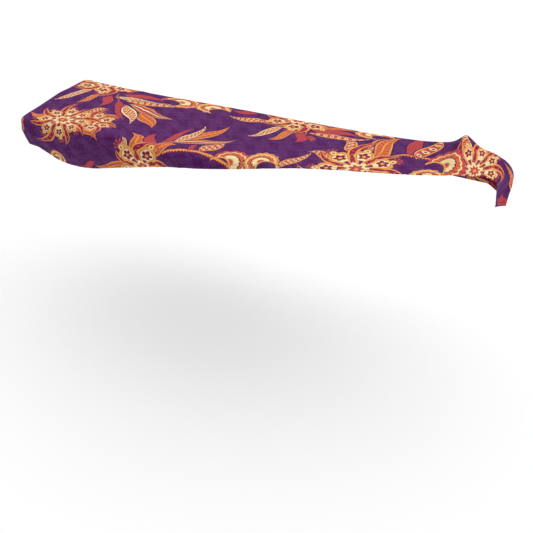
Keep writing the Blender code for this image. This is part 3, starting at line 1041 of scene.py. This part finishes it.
def ground(flat_x, flat_y):
    """Purple, with faint feathers that lie two ways."""
    one = fronds(flat_x, flat_y, 22.0, 0.064, 0.011)
    other = fronds(flat_x + 0.031, flat_y, -38.0, 0.083, 0.014)
    return laid_over(PURPLE, LILAC, one.most(other) * FROND_STRENGTH)


def noise(flat, scale, detail, output="Fac"):
    """A cloudy number at each place, or by the output Color three of them."""
    node = flat.tree.nodes.new("ShaderNodeTexNoise")
    feed(node.inputs["Vector"], flat)
    feed(node.inputs["Scale"], scale)
    feed(node.inputs["Detail"], detail)
    return Field(flat.tree, node.outputs[output])


def by_hand(flat):
    """Shifts the print's lines a little, as a hand would."""
    shift = noise(flat, HAND_SCALE, 1.0, "Color")
    reach, back = (HAND_SHIFT, HAND_SHIFT, 0.0), (-HAND_SHIFT / 2.0, -HAND_SHIFT / 2.0, 0.0)
    return vector_math("ADD", flat, vector_math("MULTIPLY_ADD", shift, reach, back))


def print_colour(flat):
    """The colour of the print at each place of the flat cut."""
    flat = by_hand(flat)
    flat_x, flat_y, _ = parts_of(flat)
    colour = ground(flat_x, flat_y)
    colour = stem_layer(colour, flat)
    for layer in dealt([leaf_motif(leaf) for leaf in LEAVES]):
        colour = leaf_layer(colour, flat, layer)
    for layer in dealt(FLOWERS):
        colour = flower_layer(colour, flat, layer)
    return scroll_layer(colour, flat)


# The knit's columns and courses, and the hem's row of stitches
WALE_PITCH, COURSE_PITCH = 0.0011, 0.0013
STITCH_PLACE, STITCH_WIDTH, STITCH_LENGTH = 0.0095, 0.0006, 0.0042
KNIT_HEIGHT, STITCH_HEIGHT, GROOVE_DEPTH = 0.00004, 0.00025, 0.00030
LEAST_ROUGHNESS = 0.50
CLOTH_SHINE = {
    "Specular IOR Level": 0.08,
    "Sheen Weight": 0.03,
    "Sheen Roughness": 0.45,
    "Sheen Tint": (0.95, 0.85, 0.95, 1.0),
}
# Where the stretch draws the cloth into faint folds
PULL_TURN, PULL_SCALE, PULL_HEIGHT = -18.0, (5.0, 34.0, 1.0), 0.0150
THREAD = printed(70, 30, 78)
# The colour of the reverse, kept dark as painted shade, and how much of it hides the print
REVERSE_WITH_PAINTED_SHADE, REVERSE_COVER = printed(52, 44, 56), 0.75


def attribute(tree, name):
    node = tree.nodes.new("ShaderNodeAttribute")
    node.attribute_name = name
    return Field(tree, node.outputs["Fac"])


def new_material(name, even):
    """A new material and its shader, with the inputs that are even all over it."""
    material = bpy.data.materials.new(name)
    material.use_nodes = True
    shader = material.node_tree.nodes["Principled BSDF"]
    for label, value in even.items():
        feed(shader.inputs[label], value)
    return material, shader


def cloth_material():
    material, shader = new_material("printed_polyester", CLOTH_SHINE)
    tree = material.node_tree
    places = tree.nodes.new("ShaderNodeUVMap")
    places.uv_map = "FlatCut"
    flat = Field(tree, places.outputs[0])
    colour = print_colour(flat)
    # Dyed a little unevenly, and duller where the cloth has been handled
    uneven = noise(flat, 9.0, 3.0)
    drawn = noise(vector_math("MULTIPLY", turned_about(flat, 0.0, 0.0, PULL_TURN), PULL_SCALE), 1.0, 2.0)
    colour = laid_over(colour, LILAC, (uneven - 0.5).most(0.0) * 0.25)
    # The reverse, with the print showing through, but for the hem that is turned in; its colour is kept
    # dark as painted shade
    to_hem, along_hem = attribute(tree, "to_hem"), attribute(tree, "along_hem")
    inside = (attribute(tree, "reverse") > 0.6) * (to_hem > HEM_WIDTH)
    colour = laid_over(colour, REVERSE_WITH_PAINTED_SHADE, inside * REVERSE_COVER)
    stitch_line = to_hem.near(STITCH_PLACE, STITCH_WIDTH)
    stitch = stitch_line * ((along_hem / STITCH_LENGTH).folded(0.5).size() < 0.36)
    colour = laid_over(colour, THREAD, stitch)
    feed(shader.inputs["Base Color"], colour)
    fine = noise(flat, 260.0, 2.0)
    feed(shader.inputs["Roughness"], LEAST_ROUGHNESS + uneven * 0.14 + fine * 0.08)
    along, aside, _ = parts_of(flat)
    wales = (along * (FULL_TURN / WALE_PITCH)).cosine()
    courses = (aside * (FULL_TURN / COURSE_PITCH)).cosine()
    knit = wales * 0.5 + wales * courses * 0.25 + fine
    height = knit * KNIT_HEIGHT + stitch * STITCH_HEIGHT - stitch_line * GROOVE_DEPTH + drawn * PULL_HEIGHT
    bump = tree.nodes.new("ShaderNodeBump")
    feed(bump.inputs["Distance"], 1.0)
    feed(bump.inputs["Strength"], 0.5)
    feed(bump.inputs["Height"], height)
    feed(shader.inputs["Normal"], Field(tree, bump.outputs[0]))
    return material


# The studio
FLOOR_LEVEL = -0.640
FLOOR_SIZE = 40.0
FLOOR_COLOUR = (0.97, 0.97, 0.97, 1.0)
FLOOR_LOOKS = {
    "Base Color": FLOOR_COLOUR,
    "Emission Color": FLOOR_COLOUR,
    "Emission Strength": 0.10,
    "Roughness": 0.9,
}


def build_floor():
    half = FLOOR_SIZE / 2.0
    corners = [(-half, -half), (half, -half), (half, half), (-half, half)]
    mesh = bpy.data.meshes.new("floor")
    mesh.from_pydata([(x, y, FLOOR_LEVEL) for x, y in corners], [], [(0, 1, 2, 3)])
    mesh.materials.append(new_material("plain_floor", FLOOR_LOOKS)[0])
    floor = link("floor", mesh)


# The camera: its place, its turns in degrees, and its lens in pixels of the picture
CAMERA_PLACE = (0.93085, -1.47271, 0.70745)
CAMERA_YAW, CAMERA_PITCH, CAMERA_ROLL = 28.77, 32.95, 0.40
FRAME_PIXELS = 533
FOCAL_PIXELS = 710.4
SENSOR_WIDTH = 36.0
SHIFT_RIGHT, SHIFT_UP = -0.0241, 0.0072


def build_camera():
    data = bpy.data.cameras.new("camera")
    data.sensor_width = SENSOR_WIDTH
    data.lens = FOCAL_PIXELS / FRAME_PIXELS * SENSOR_WIDTH
    data.shift_x, data.shift_y = SHIFT_RIGHT, SHIFT_UP
    camera = link("camera", data)
    camera.location = CAMERA_PLACE
    camera.rotation_mode = "XYZ"
    tilt = math.radians(90.0 - CAMERA_PITCH)
    camera.rotation_euler = (tilt, math.radians(CAMERA_ROLL), math.radians(CAMERA_YAW))
    bpy.context.scene.camera = camera


# Soft lamps far off, each aimed at the origin. The angle is how wide a lamp looks, so how soft it is
Lamp = namedtuple("Lamp", "name place strength angle")
LAMPS = [
    Lamp("top_light", (-0.2, 0.8, 3.0), 2.5, 90.0),
    Lamp("side_light", (3.0, 0.2, 1.4), 1.0, 60.0),
]
WORLD_COLOUR = (1.0, 1.0, 1.0, 1.0)
LIGHT_FROM_WORLD, SEEN_WORLD = 0.08, 1.02


def build_lights():
    for lamp in LAMPS:
        data = bpy.data.lights.new(lamp.name, "SUN")
        data.energy = lamp.strength
        data.angle = math.radians(lamp.angle)
        light = link(lamp.name, data)
        light.location = lamp.place
        light.rotation_euler = (-Vector(lamp.place)).to_track_quat("-Z", "Y").to_euler()
    bpy.context.scene.view_settings.view_transform = "Standard"


def build_world():
    """A pale backdrop that gives less light than it shows."""
    world = bpy.data.worlds.new("studio")
    world.use_nodes = True
    tree = world.node_tree
    tree.nodes["Background"].inputs["Color"].default_value = WORLD_COLOUR
    rays = tree.nodes.new("ShaderNodeLightPath")
    seen = Field(tree, rays.outputs["Is Camera Ray"])
    strength = seen * (SEEN_WORLD - LIGHT_FROM_WORLD) + LIGHT_FROM_WORLD
    feed(tree.nodes["Background"].inputs["Strength"], strength)
    bpy.context.scene.world = world


cloth, cloth_area = build_cloth()
cloth.data.materials.append(cloth_material())
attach(cloth, "root")
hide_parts("cover_cloth")
build_floor()
build_camera()
build_lights()
build_world()
